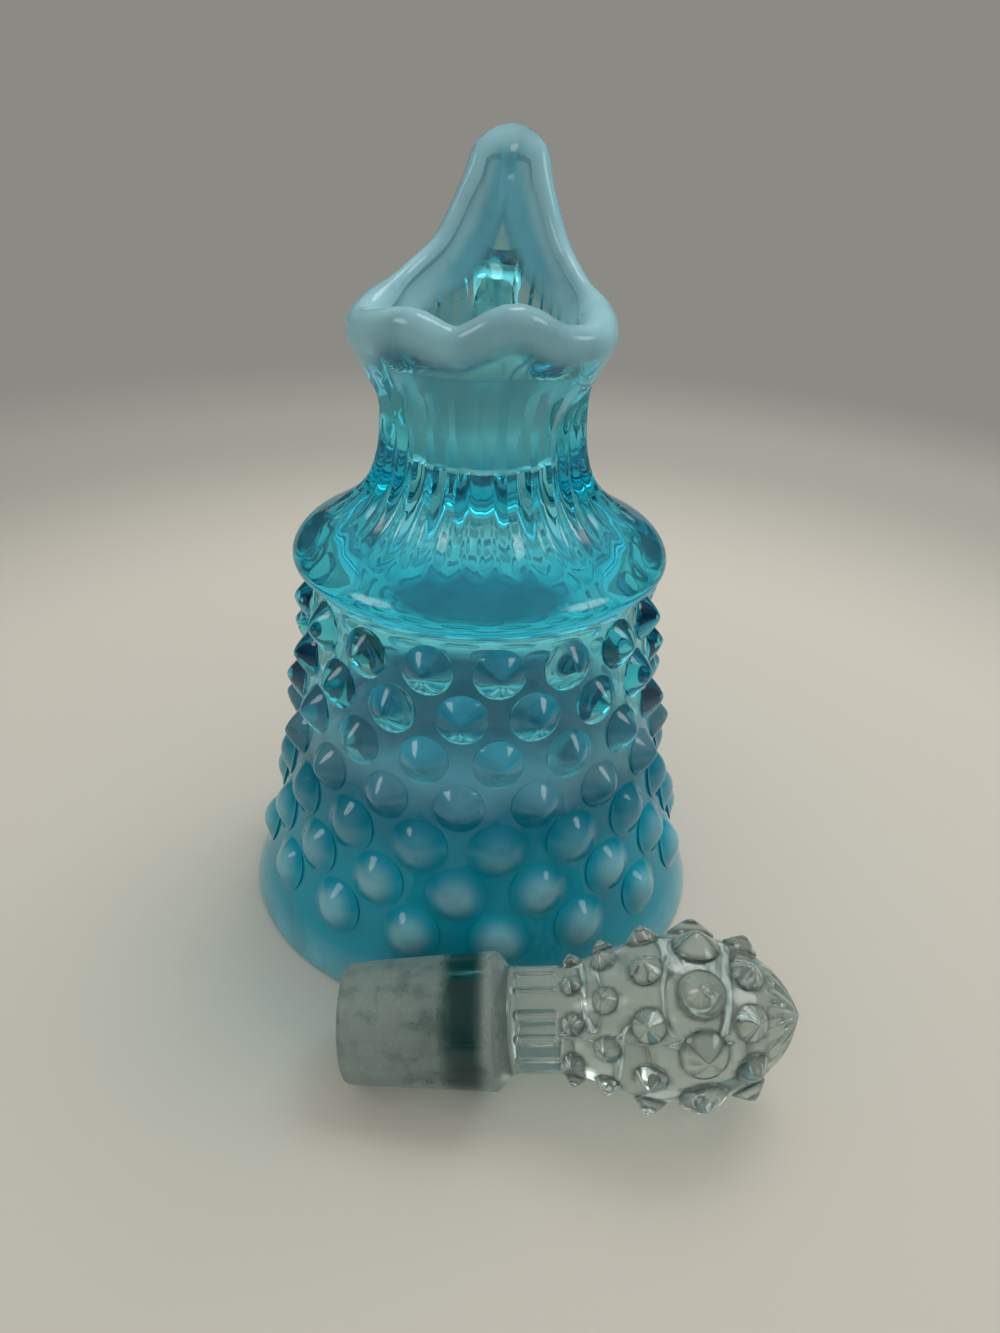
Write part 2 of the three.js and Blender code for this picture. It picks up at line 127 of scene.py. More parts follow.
# the middle of the rim all round: degrees from the tall corner, distance from the axis and height in mm
LIP_STATIONS = (
    (0, 24.2, 145.4),
    (10.5, 23, 143.4),
    (17, 20.6, 138),
    (37, 16.8, 128.2),
    (64, 16, 123.9),
    (113, 21.2, 118),
    (152, 19.4, 120.4),
    (175, 18.3, 118.2),
    (204, 19, 122.3),
    (228, 19.8, 118.6),
    (248, 21.3, 118.2),
    (268, 19, 120.6),
    (296, 16, 124.2),
    (323, 16.8, 129),
    (343, 20.6, 138),
    (349.5, 23, 143.4),
)

# Stopper: lengths along its axis from the plug's end
PLUG_LENGTH = 26.4 * MM
PLUG_RADIUS = 11.8 * MM
PLUG_END_RADIUS = 10.3 * MM
# the shoulder between plug and stem: out from the stem and along from the plug, in mm
SHOULDER_STEPS = ((1.3, 1.7), (0.4, 2.3), (0.1, 2.9))
STEM_START = 28.9 * MM
STEM_LEAD = 0.6 * MM
STEM_RADIUS = 9 * MM
FINIAL_START = 37.1 * MM
FINIAL_LENGTH = 34.5 * MM
FINIAL_RADIUS = 14 * MM
POINT_RADIUS = 9.9 * MM
POINT_LENGTH = 6.8 * MM
FLUTES = 14
FLUTE_RADIUS = 0.95 * MM
# the stem that stays bare of flutes: before them, and in all
FLUTE_LEAD = 1.1 * MM
BARE_STEM = 2.4 * MM
# shares of the cut point's length and radius
POINT_OUTLINE = ((0.12, 0.93), (0.3, 0.83), (0.5, 0.68), (0.7, 0.48), (0.86, 0.26), (0.96, 0.09), (1, 0.02))
POINT_FLUTES = 16
POINT_FLUTE_DEPTH = 0.55 * MM
FINIAL_KNOBS = 9
FINIAL_KNOB_SIDES = 28
# each ring's share of the finial's length, its knobs' base radius and their height in mm
FINIAL_RINGS = ((0.08, 1.9, 1.7), (0.24, 2.3, 2.1), (0.44, 2.9, 2.5), (0.69, 4.1, 2.8), (0.92, 3.1, 2.3))
PLUG_ROUND = 1.4 * MM
STOPPER_SIDES = 168
STOPPER_SEAM = math.radians(-31)
PLUG_SEAM_HEIGHT = 0.08 * MM
FINIAL_SEAM_HEIGHT = 0.14 * MM
# how it lies on the table
STOPPER_ROLL = math.radians(-11)
STOPPER_YAW = math.radians(-2.6)
STOPPER_TILT = math.radians(5.72)
STOPPER_END = Vector((-21.4, -58.7, 10.09)) * MM

# Handle: a rod from under the tall corner to the collar
HANDLE_AZIMUTH = math.radians(175)
HANDLE_DEPTH = 7 * MM
HANDLE_WIDTH = 8.6 * MM
# distance from the axis and height in mm, and the share of the rod's thickness
HANDLE_OUTLINE = (
    (18.5, 113.2, 1.3),
    (23, 118, 1.18),
    (32, 121, 1),
    (43, 114.5, 1),
    (46, 102, 1),
    (42, 90.5, 1.02),
    (32.5, 82.6, 1.25),
    (30, 79.6, 1.4),
)


def linear(hex_colour):
    """An sRGB hex value as a linear colour."""
    parts = [int(hex_colour[i : i + 2], 16) / 255 for i in (1, 3, 5)]
    return tuple(p / 12.92 if p <= 0.04045 else ((p + 0.055) / 1.055) ** 2.4 for p in parts) + (1.0,)


def polar(radius, azimuth, height):
    """A point by its azimuth from -Y towards +X."""
    return Vector((radius * math.sin(azimuth), -radius * math.cos(azimuth), height))


def bezier(a, b, c, d, t):
    """A point on the cubic curve from a to d with the handles b and c."""
    s = 1 - t
    return a * s**3 + b * 3 * s * s * t + c * 3 * s * t * t + d * t**3


def smooth_step(low, high, value):
    """0 up to low, 1 from high on, and a smooth rise between them."""
    t = min(max((value - low) / (high - low), 0), 1)
    return t * t * (3 - 2 * t)


def body_radius(height):
    """The outside of the bell."""
    down = (BODY_TOP - height) / (BODY_TOP - FOOT_CORNER)
    flare = FOOT_RADIUS - BODY_TOP_RADIUS - BODY_TAPER
    return BODY_TOP_RADIUS + BODY_TAPER * down + flare * down**3


# Shaping


def turned_solid(name, profile, sides):
    """A closed solid round Z: a filled circle is extruded and scaled along the (radius, height) points."""
    bpy.ops.object.select_all(action="DESELECT")
    radius, height = profile[0]
    place = (0, 0, height)
    bpy.ops.mesh.primitive_circle_add(vertices=sides, radius=radius, fill_type="NGON", location=place)
    piece = bpy.context.object
    piece.name = piece.data.name = name
    bpy.ops.object.transform_apply(location=True)
    bpy.ops.object.mode_set(mode="EDIT")
    bpy.ops.mesh.select_all(action="SELECT")
    bpy.ops.mesh.poke()
    for (r0, z0), (r1, z1) in zip(profile, profile[1:]):
        bpy.ops.mesh.extrude_region_move(TRANSFORM_OT_translate={"value": (0, 0, z1 - z0)})
        bpy.ops.transform.resize(value=(r1 / r0, r1 / r0, 1), center_override=(0, 0, z1))
    bpy.ops.mesh.select_all(action="SELECT")
    bpy.ops.mesh.normals_make_consistent(inside=False)
    bpy.ops.object.mode_set(mode="OBJECT")
    return piece


def rings_and_columns(piece, profile, sides):
    """Each vertex of a turned solid but the poles, with its ring, and its column from -Y towards +X."""
    points = np.array(profile)
    for vertex in piece.data.vertices:
        x, y, z = vertex.co
        radius = math.hypot(x, y)
        if radius < 1e-6:
            continue
        ring = int(np.argmin((points[:, 0] - radius) ** 2 + (points[:, 1] - z) ** 2))
        azimuth = math.atan2(x, -y)
        yield vertex, ring, round(azimuth * sides / (2 * math.pi)) % sides


def placed_copies(pattern, places):
    """One joined object of copies of a pattern, each with its own mesh, at the given matrices."""
    bpy.ops.object.select_all(action="DESELECT")
    copies = []
    for place in places:
        copy = pattern.copy()
        copy.data = pattern.data.copy()
        copy.matrix_world = place
        bpy.context.collection.objects.link(copy)
        copy.select_set(True)
        copies.append(copy)
    bpy.context.view_layer.objects.active = copies[0]
    bpy.ops.object.join()
    bpy.ops.object.transform_apply(location=True, rotation=True, scale=True)
    bpy.data.objects.remove(pattern)
    return copies[0]


def combined(piece, tool, operation):
    """The piece after a Boolean with the tool, which is used up."""
    bpy.ops.object.select_all(action="DESELECT")
    bpy.context.view_layer.objects.active = piece
    piece.select_set(True)
    boolean = piece.modifiers.new(operation, "BOOLEAN")
    boolean.operation = operation
    boolean.object = tool
    boolean.solver = "EXACT"
    bpy.ops.object.modifier_apply(modifier=boolean.name)
    bpy.data.objects.remove(tool)
    return piece


def shade_smooth(piece, angle):
    """Smooth shading, apart from edges sharper than so many degrees."""
    bpy.ops.object.select_all(action="DESELECT")
    bpy.context.view_layer.objects.active = piece
    piece.select_set(True)
    bpy.ops.object.shade_smooth_by_angle(angle=math.radians(angle))


def pointed_knob(name, radius, height, sink, outline, sides):
    """A knob on +Z: a round skirt sunk in the wall, then the outline's shares of radius and height."""
    profile = [(radius, -sink)] + [(radius * r, height * h) for r, h in outline]
    return turned_solid(name, profile, sides)


def standing_on(place, outward):
    """The matrix that stands a knob on a wall."""
    return Matrix.Translation(place) @ outward.to_track_quat("Z", "Y").to_matrix().to_4x4()


# Bottle

# the shares of a knob's radius and height, from its base to its point
SOFT_KNOB = (
    (1.2, 0),
    (1.1, 0.04),
    (0.97, 0.13),
    (0.82, 0.27),
    (0.65, 0.44),
    (0.47, 0.59),
    (0.26, 0.7),
    (0.02, 0.74),
)
CRISP_KNOB = ((1, 0.03), (0.97, 0.09), (0.8, 0.3), (0.58, 0.56), (0.34, 0.8), (0.14, 0.955), (0.03, 1))


def outer_profile():
    """(radius, height) points from the underside's centre to the top of the neck."""
    ring_inner = FOOT_RADIUS - FOOT_CORNER - FOOT_RING
    recess = ring_inner - 2 * UNDERSIDE_RECESS
    profile = [(CENTRE, UNDERSIDE_RECESS), (recess, UNDERSIDE_RECESS), (ring_inner, 0)]
    corner_steps = 5
    for k in range(corner_steps + 1):
        bend = k * math.pi / 2 / corner_steps
        radius = FOOT_RADIUS - FOOT_CORNER * (1 - math.sin(bend))
        profile.append((radius, FOOT_CORNER * (1 - math.cos(bend))))
    wall_steps = 34
    for k in range(1, wall_steps + 1):
        height = FOOT_CORNER + (BODY_TOP - FOOT_CORNER) * k / wall_steps
        profile.append((body_radius(height), height))
    # the groove under the collar, the collar's round nose, and the slope up to the neck
    for outward, upward in COLLAR_GROOVE:
        profile.append((BODY_TOP_RADIUS + outward * MM, BODY_TOP + upward * MM))
    nose_low = Vector((COLLAR_RADIUS - NOSE_LOW_INSET, COLLAR_EDGE))
    nose_high = Vector((COLLAR_RADIUS - NOSE_HIGH_INSET, COLLAR_TOP))
    low_handle = nose_low + Vector((NOSE_BULGE * 0.7, NOSE_BULGE * 0.4))
    high_handle = nose_high + Vector((NOSE_BULGE, -NOSE_BULGE * 0.7))
    nose_steps = 9
    for k in range(nose_steps + 1):
        p = bezier(nose_low, low_handle, high_handle, nose_high, k / nose_steps)
        profile.append((p.x, p.y))
    over = Vector(((nose_high.x + NECK_RADIUS) / 2 - 2 * MM, COLLAR_TOP + SLOPE_PULL))
    under = Vector((NECK_RADIUS, NECK_TOP - NECK_PULL))
    neck_steps = 26
    for k in range(1, neck_steps + 1):
        p = bezier(nose_high, over, under, Vector((NECK_RADIUS, NECK_TOP)), k / neck_steps)
        profile.append((p.x, p.y))
    return profile


def inner_profile():
    """(radius, height) points from the top of the ground bore down to the cavity's floor."""
    profile = [(BORE_RADIUS, BORE_TOP)]
    foot = BORE_TOP - BORE_LENGTH
    bore_steps = 6
    for k in range(1, bore_steps + 1):
        share = k / bore_steps
        radius = BORE_RADIUS + (BORE_FOOT_RADIUS - BORE_RADIUS) * share
        profile.append((radius, BORE_TOP - BORE_LENGTH * share))
    top = Vector((BORE_RADIUS - UNDERCUT_INSET, foot - UNDERCUT_DROP))
    low = Vector((body_radius(CAVITY_SHOULDER) - WALL, CAVITY_SHOULDER))
    pull = Vector((0, (top.y - low.y) * SHOULDER_PULL))
    shoulder_steps = 16
    for k in range(shoulder_steps + 1):
        p = bezier(top, top - pull, low + pull, low, k / shoulder_steps)
        profile.append((p.x, p.y))
    floor = UNDERSIDE_RECESS + FLOOR
    wall_steps = 14
    for k in range(1, wall_steps + 1):
        height = low.y + (floor + FLOOR_ROUND - low.y) * k / wall_steps
        profile.append((body_radius(height) - WALL, height))
    corner = Vector(profile[-1])
    round_steps = 5
    for k in range(1, round_steps + 1):
        bend = k * math.pi / (2 * round_steps)
        inward = FLOOR_ROUND * (1 - math.cos(bend))
        profile.append((corner.x - inward, corner.y - FLOOR_ROUND * math.sin(bend)))
    profile.append((CENTRE, floor))
    return profile


def catmull_rom(points, t):
    """A point on the centripetal curve between the second and third of four points."""
    knots = [0.0]
    for a, b in zip(points, points[1:]):
        knots.append(knots[-1] + (b - a).length ** 0.5)
    at = knots[1] + t * (knots[2] - knots[1])

    def between(a, b, i, j):
        return a * ((knots[j] - at) / (knots[j] - knots[i])) + b * ((at - knots[i]) / (knots[j] - knots[i]))

    first = [between(points[i], points[i + 1], i, i + 1) for i in range(3)]
    second = [between(first[i], first[i + 1], i, i + 2) for i in range(2)]
    return between(second[0], second[1], 1, 2)


def rim_curve(count):
    """Points and directions evenly along the middle of the rolled rim, from the tall corner round."""
    stations = [polar(r * MM, LIP_BACK + math.radians(a), z * MM) for a, r, z in LIP_STATIONS]
    n = len(stations)
    fine = 60
    points = []
    for k in range(n):
        four = [stations[(k + j - 1) % n] for j in range(4)]
        points += [catmull_rom(four, j / fine) for j in range(fine)]
    points.append(points[0])
    lengths = np.cumsum([0] + [(b - a).length for a, b in zip(points, points[1:])])
    wanted = np.arange(count) * lengths[-1] / count
    place = np.array(points)
    even = [Vector(np.array([np.interp(w, lengths, place[:, axis]) for axis in range(3)])) for w in wanted]
    along = [(even[(k + 1) % count] - even[k - 1]).normalized() for k in range(count)]
    return even, along


def lip_places():
    """The place of each lip vertex, as a function of its column, its part of the lip and its share of that.

    With it come the points along the middle of the rim."""
    middles, alongs = rim_curve(COLUMNS)
    backward = polar(1, LIP_BACK, 0)
    sideways = UP.cross(backward)
    columns = []
    for k, (middle, along) in enumerate(zip(middles, alongs)):
        azimuth = LIP_BACK + k * 2 * math.pi / COLUMNS
        crest = (UP - along * UP.dot(along)).normalized()
        outward = along.cross(crest).normalized()
        aside = abs(middle.dot(sideways))
        rear = smooth_step(REAR_START, REAR_FULL, middle.dot(backward))
        near_tip = rear * max(0, 1 - aside / TIP_WIDTH)
        # the roll's outer radius, and from its middle in to its inner edge and on to the back of the ridge
        roll = LIP_ROLL + (REAR_ROLL - LIP_ROLL) * rear
        fold = LIP_ROLL + (min(REAR_FOLD, aside) - LIP_ROLL) * rear
        inward = -outward * fold - (UP * TIP_DROP + backward * LIP_ROLL) * near_tip
        behind_ridge = (outward * RIDGE_BACK - crest * RIDGE_DROP) * (0.5 + 0.5 * rear) * (1 - near_tip)
        fill = backward * TIP_FILL * near_tip
        columns.append((azimuth, middle, crest, outward, inward, behind_ridge, fill, roll, rear))

    def place(column, part, share):
        azimuth, middle, crest, outward, inward, behind_ridge, fill, roll, rear = columns[column]
        outside = middle + outward * roll
        inside = middle + inward + behind_ridge
        if part == "flare":
            foot = polar(NECK_RADIUS, azimuth, NECK_TOP)
            rise = outside.z - foot.z
            ribs = RIB_DEPTH * math.cos(RIBS * azimuth) * (1 - smooth_step(*RIBS_FADE, share))
            point = bezier(foot, foot + UP * rise * 0.42, outside - UP * rise * 0.26, outside, share)
            return point + polar(ribs, azimuth, 0)
        if part == "roll":
            bend = share * math.pi
            side = outward * roll if share < 0.5 else -inward
            return middle + side * math.cos(bend) + crest * (roll * math.sin(bend))
        foot = polar(BORE_RADIUS + BORE_LEDGE, azimuth, BORE_TOP)
        rise = max(inside.z - foot.z, 1 * MM) * 0.4
        upper = (inside - UP * rise).lerp(inside.lerp(foot, 0.4) - fill, rear)
        return bezier(inside, upper, foot + UP * rise, foot, share)

    return place, middles


def bottle_walls():
    """The bottle without its knobs: turned, then its neck ribbed and its lip drawn out of the round."""
    outer = outer_profile()
    inner = inner_profile()
    flare_steps = 12
    roll_steps = 10
    inside_steps = 14
    lip = [("flare", k / flare_steps) for k in range(1, flare_steps + 1)]
    lip += [("roll", k / roll_steps) for k in range(1, roll_steps)]
    lip += [("inside", k / inside_steps) for k in range(inside_steps + 1)]
    # a plain arch to turn, whose rings then go to their places on the real lip
    arch = 18 * MM
    inner_rise = 11 * MM
    round_lip = []
    for k in range(len(lip)):
        bend = math.pi * (k + 1) / (len(lip) + 1)
        radius = NECK_RADIUS + (BORE_RADIUS - NECK_RADIUS) * (1 - math.cos(bend)) / 2
        height = NECK_TOP + arch * math.sin(bend) + inner_rise * (1 - math.cos(bend)) / 2
        round_lip.append((radius, height))
    profile = outer + round_lip + inner
    piece = turned_solid("bottle_glass", profile, COLUMNS)
    place, middles = lip_places()
    seam_columns = (SEAM_COLUMN % COLUMNS, SEAM_COLUMN + COLUMNS // 2)
    for vertex, ring, column in rings_and_columns(piece, profile, COLUMNS):
        azimuth = column * 2 * math.pi / COLUMNS
        if len(outer) <= ring < len(outer) + len(lip):
            part, share = lip[ring - len(outer)]
            vertex.co = place(round(column - LIP_BACK_COLUMN) % COLUMNS, part, share)
            continue
        radius, height = profile[ring]
        if ring < len(outer) and height > COLLAR_TOP:
            strength = 1 - smooth_step(RIBS_FULL, RIBS_END, radius)
            vertex.co = polar(radius + strength * RIB_DEPTH * math.cos(RIBS * azimuth), azimuth, height)
        elif ring < len(outer) and FOOT_CORNER < height and column in seam_columns:
            vertex.co = polar(radius + SEAM_HEIGHT, azimuth, height)
    return piece, middles


def body_knobs(rows, outline):
    """Some rows of the body's knobs, joined."""
    pattern = pointed_knob("knob", KNOB_RADIUS, KNOB_HEIGHT, KNOB_SINK, outline, KNOB_SIDES)
    places = []
    step = 0.5 * MM
    for row in rows:
        height = FIRST_ROW + row * ROW_PITCH
        rise = (body_radius(height - step) - body_radius(height + step)) / (2 * step)
        for k in range(KNOBS_PER_ROW):
            azimuth = FIRST_KNOB_TURN + (2 * k + row % 2) * math.pi / KNOBS_PER_ROW
            outward = polar(1, azimuth, rise).normalized()
            places.append(standing_on(polar(body_radius(height), azimuth, height), outward))
    return placed_copies(pattern, places)


def paint(piece, name, value_at):
    """A point attribute from each vertex's place."""
    layer = piece.data.attributes.new(name, "FLOAT", "POINT")
    for k, vertex in enumerate(piece.data.vertices):
        layer.data[k].value = value_at(vertex.co)


def bottle():
    """The walls with their knobs: soft ones in the opal at the foot, and crisp ones above."""
    piece, rim = bottle_walls()
    piece = combined(piece, body_knobs(range(SOFT_ROWS), SOFT_KNOB), "UNION")
    piece = combined(piece, body_knobs(range(SOFT_ROWS, KNOB_ROWS), CRISP_KNOB), "UNION")
    shade_smooth(piece, 32)
    paint_bottle(piece, np.array(rim))
    return piece


# heights between which the foot's opal and the collar's deep colour fade out
FOOT_OPAL_FULL = 18 * MM
FOOT_OPAL_END = 55 * MM
COLLAR_DEPTH_FULL = 81 * MM
COLLAR_DEPTH_END = 90 * MM
# the trace of opal that stays in the clear glass
HAZE = 0.08
COLLAR_HAZE = 1.2 * HAZE


def paint_bottle(piece, rim):
    """Where the glass is opal and how white, where the collar is deep and where the bore is ground."""
    backward = polar(1, LIP_BACK, 0)

    def from_rim(p):
        return np.sqrt(((rim - np.array(p)) ** 2).sum(axis=1).min())

    def at_tall_corner(p):
        return smooth_step(8 * MM, 14 * MM, p.dot(backward))

    def lip_opal(p):
        """The opal reaches further from the rim at the rear than at the front."""
        if p.z < NECK_TOP:
            return 0
        rear = at_tall_corner(p)
        front = smooth_step(10 * MM, 17 * MM, -p.y)
        full = (3.6 + 2 * rear - 0.8 * front) * MM
        end = (8 + rear - 3.2 * front) * MM
        return 1 - smooth_step(full, end, from_rim(p))

    def lip_milk(p):
        """Less white on the hollow face of the tall corner, which looks deeper blue than the roll."""
        hollow = at_tall_corner(p) * smooth_step(1.8 * MM, 4 * MM, from_rim(p))
        return 1 - 0.6 * hollow

    def foot_opal(p):
        return 0 if p.z > BODY_TOP else 1 - smooth_step(FOOT_OPAL_FULL, FOOT_OPAL_END, p.z)

    def collar_depth(p):
        """Where the collar is solid glass, and so looks deeper in colour."""
        return 1 - smooth_step(COLLAR_DEPTH_FULL, COLLAR_DEPTH_END, p.z) if p.z > BODY_TOP else 0

    def haze(p):
        """A trace of opal on the cavity's wall and on the collar."""
        if p.z > BORE_TOP - BORE_LENGTH:
            return 0
        if p.z > BODY_TOP:
            return COLLAR_HAZE * collar_depth(p)
        return HAZE if math.hypot(p.x, p.y) < body_radius(p.z) - WALL / 2 else 0

    def milk(p):
        """The white of the lip, of the low knobs and of the foot's edge."""
        if p.z > NECK_TOP:
            return lip_milk(p)
        if p.z > BODY_TOP:
            return 0
        proud = smooth_step(0.3 * MM, 2.6 * MM, math.hypot(p.x, p.y) - body_radius(p.z))
        low = 1 - smooth_step(24 * MM, 42 * MM, p.z)
        edge = 1 - smooth_step(1 * MM, 9 * MM, p.z)
        return max(0.6 * proud * low, 0.5 * edge)

    def ground(p):
        if math.hypot(p.x, p.y) > BORE_RADIUS + 1.5 * MM:
            return 0
        top = BORE_TOP + 0.2 * MM + max(p.y, 0) * 0.5
        return 1 if BORE_TOP - BORE_LENGTH - 0.1 * MM < p.z < top else 0

    paint(piece, "opal", lambda p: max(lip_opal(p), foot_opal(p), haze(p)))
    paint(piece, "collar_depth", collar_depth)
    paint(piece, "milk", milk)
    paint(piece, "ground", ground)


# Handle


def handle():
    """The bent rod, drawn as a curve in the XZ plane, flattened and then turned to its place."""
    bpy.ops.object.select_all(action="DESELECT")
    bpy.ops.curve.primitive_bezier_curve_add()
    rod = bpy.context.object
    rod.name = rod.data.name = "handle_glass"
    rod.data.dimensions = "3D"
    spline = rod.data.splines[0]
    spline.bezier_points.add(len(HANDLE_OUTLINE) - 2)
    for point, (radius, height, share) in zip(spline.bezier_points, HANDLE_OUTLINE):
        point.co = (radius * MM, 0, height * MM)
        point.handle_left_type = point.handle_right_type = "AUTO"
        point.radius = share
    spline.resolution_u = 14
    rod.data.bevel_depth = HANDLE_DEPTH / 2
    rod.data.bevel_resolution = 10
    rod.data.use_fill_caps = True
    bpy.ops.object.convert(target="MESH")
    bpy.ops.object.mode_set(mode="EDIT")
    bpy.ops.mesh.select_all(action="SELECT")
    bpy.ops.transform.resize(value=(1, HANDLE_WIDTH / HANDLE_DEPTH, 1), center_override=(0, 0, 0))
    bpy.ops.mesh.remove_doubles(threshold=0.00001)
    bpy.ops.mesh.normals_make_consistent(inside=False)
    bpy.ops.object.mode_set(mode="OBJECT")
    rod.rotation_euler = (0, 0, HANDLE_AZIMUTH - math.pi / 2)
    bpy.ops.object.transform_apply(rotation=True)
    shade_smooth(rod, 40)
    return rod


# Stopper


def finial_radius(along):
    """The finial's outside by the share of its length, without its knobs."""
    widest = 0.62
    low = along < widest
    end = STEM_RADIUS if low else POINT_RADIUS
    share = along / widest if low else (1 - along) / (1 - widest)
    return end + (FINIAL_RADIUS - end) * math.sin(share * math.pi / 2) ** (1.4 if low else 0.8)


def stopper_profile():
    """(radius, height) points from the middle of the plug's end to the finial's point."""
    profile = [(CENTRE, 0), (PLUG_END_RADIUS - PLUG_ROUND, 0)]
    round_steps = 4
    for k in range(1, round_steps + 1):
        bend = k * math.pi / (2 * round_steps)
        radius = PLUG_END_RADIUS - PLUG_ROUND * (1 - math.sin(bend))
        profile.append((radius, PLUG_ROUND * (1 - math.cos(bend))))
    plug_steps = 8
    for k in range(1, plug_steps + 1):
        share = k / plug_steps
        radius = PLUG_END_RADIUS + (PLUG_RADIUS - PLUG_END_RADIUS) * share
        profile.append((radius, PLUG_ROUND + (PLUG_LENGTH - PLUG_ROUND) * share))
    profile.append((PLUG_RADIUS - 0.35 * MM, PLUG_LENGTH + 0.5 * MM))
    for outward, along in SHOULDER_STEPS:
        profile.append((STEM_RADIUS + outward * MM, PLUG_LENGTH + along * MM))
    stem_steps = 6
    stem_low = STEM_START + STEM_LEAD
    for k in range(1, stem_steps):
        profile.append((STEM_RADIUS, stem_low + (FINIAL_START - STEM_START - STEM_LEAD) * k / stem_steps))
    finial_steps = 36
    for k in range(finial_steps + 1):
        profile.append((finial_radius(k / finial_steps), FINIAL_START + FINIAL_LENGTH * k / finial_steps))
    for share, radius in POINT_OUTLINE:
        profile.append((POINT_RADIUS * radius, FINIAL_START + FINIAL_LENGTH + POINT_LENGTH * share))
    return profile


def stem_flutes():
    """Long rounded cutters, for the flutes round the stem."""
    length = (FINIAL_START - STEM_START) - BARE_STEM + 2 * FLUTE_RADIUS
    tip = 0.02 * MM
    end_steps = 5
    end = [(tip, 0)]
    for k in range(1, end_steps + 1):
        bend = k * math.pi / (2 * end_steps)
        end.append((FLUTE_RADIUS * math.sin(bend), FLUTE_RADIUS * (1 - math.cos(bend))))
    other_end = [(radius, length - along) for radius, along in reversed(end)]
    pattern = turned_solid("flute", end + other_end, 16)
    distance = STEM_RADIUS + FLUTE_RADIUS * 0.1
    start = STEM_START + FLUTE_LEAD - FLUTE_RADIUS * 0.2
    places = [Matrix.Translation(polar(distance, k * 2 * math.pi / FLUTES, start)) for k in range(FLUTES)]
    return placed_copies(pattern, places)


def finial_knob_places(row, share):
    """Where one ring's knobs stand, each with its outward direction."""
    along = FINIAL_START + share * FINIAL_LENGTH
    step = 0.02
    rise = (finial_radius(share - step) - finial_radius(share + step)) / (2 * step * FINIAL_LENGTH)
    for k in range(FINIAL_KNOBS):
        azimuth = math.pi / 2 + STOPPER_ROLL + (2 * k + 1 + (row + 3) % 2) * math.pi / FINIAL_KNOBS
        yield polar(finial_radius(share), azimuth, along), polar(1, azimuth, rise).normalized()


def finial_knobs():
    """The five rings of knobs, joined."""
    joined = []
    for row, (share, radius, height) in enumerate(FINIAL_RINGS):
        pattern = pointed_knob(
            "finial_knob", radius * MM, height * MM, KNOB_SINK, CRISP_KNOB, FINIAL_KNOB_SIDES
        )
        places = [standing_on(place, outward) for place, outward in finial_knob_places(row, share)]
        joined.append(placed_copies(pattern, places))
    bpy.ops.object.select_all(action="DESELECT")
    for piece in joined:
        piece.select_set(True)
    bpy.context.view_layer.objects.active = joined[0]
    bpy.ops.object.join()
    return joined[0]


def stopper():
    """Turned, its rays and mould seam drawn out of the round, then fluted, knobbed and laid down."""
    profile = stopper_profile()
    piece = turned_solid("stopper_glass", profile, STOPPER_SIDES)
    point_start = FINIAL_START + FINIAL_LENGTH
    seam = round(STOPPER_SEAM * STOPPER_SIDES / (2 * math.pi))
    seam_columns = (seam % STOPPER_SIDES, (seam + STOPPER_SIDES // 2) % STOPPER_SIDES)
    for vertex, ring, column in rings_and_columns(piece, profile, STOPPER_SIDES):
        radius, along = profile[ring]
        azimuth = column * 2 * math.pi / STOPPER_SIDES
        if along > point_start:
            share = min((along - point_start) / POINT_LENGTH, 1)
            depth = POINT_FLUTE_DEPTH * math.sin(share * math.pi) ** 0.5
            ray = abs(math.cos(azimuth * POINT_FLUTES / 2))
            vertex.co = polar(max(radius - depth * (1 - ray), 0.02 * MM), azimuth, along)
        elif PLUG_ROUND < along and column in seam_columns:
            proud = PLUG_SEAM_HEIGHT if along < STEM_START else FINIAL_SEAM_HEIGHT
            vertex.co = polar(radius + proud, azimuth, along)
    piece = combined(piece, stem_flutes(), "DIFFERENCE")
    piece = combined(piece, finial_knobs(), "UNION")
    shade_smooth(piece, 35)
    paint_stopper(piece)
    turn = Matrix.Rotation(STOPPER_YAW, 4, "Z") @ Matrix.Rotation(math.pi / 2 - STOPPER_TILT, 4, "Y")
    piece.matrix_world = Matrix.Translation(STOPPER_END) @ turn
    bpy.ops.object.select_all(action="DESELECT")
    piece.select_set(True)
    bpy.context.view_layer.objects.active = piece
    bpy.ops.object.transform_apply(location=True, rotation=True, scale=True)
    return piece


def paint_stopper(piece):
    """Where the stopper is ground, how far its plug goes, and the painted shade of a dark line round each
    knob's foot.
    """
    feet = []
    for row, (share, radius, _) in enumerate(FINIAL_RINGS):
        feet += [(*place, radius * MM) for place, _ in finial_knob_places(row, share)]
    feet = np.array(feet)

    def ground(p):
        """The shoulder and most of the plug, thinning towards the bare band between them."""
        whole = 1 - smooth_step(18.5 * MM, 20.5 * MM, p.z)
        thinner = 1 - 0.18 * smooth_step(5 * MM, 17 * MM, p.z)
        on_shoulder = smooth_step(24.2 * MM, 24.6 * MM, p.z) * (1 - smooth_step(27 * MM, 29 * MM, p.z))
        return max(whole * thinner, 0.9 * on_shoulder)

    # painted shade: a dark line round each knob's foot, standing in for the dark edge that refraction shows
    # there
    def knob_foot_shade(p):
        if p.z < FINIAL_START - 2 * MM:
            return 0
        off = np.abs(np.sqrt(((feet[:, :3] - np.array(p)) ** 2).sum(axis=1)) - feet[:, 3]).min()
        return 1 - smooth_step(0.15 * MM, 0.5 * MM, off)

    paint(piece, "ground", ground)
    paint(piece, "plug", lambda p: 1 - smooth_step(24.3 * MM, 24.6 * MM, p.z))
    paint(piece, "knob_foot_shade", knob_foot_shade)


# Materials


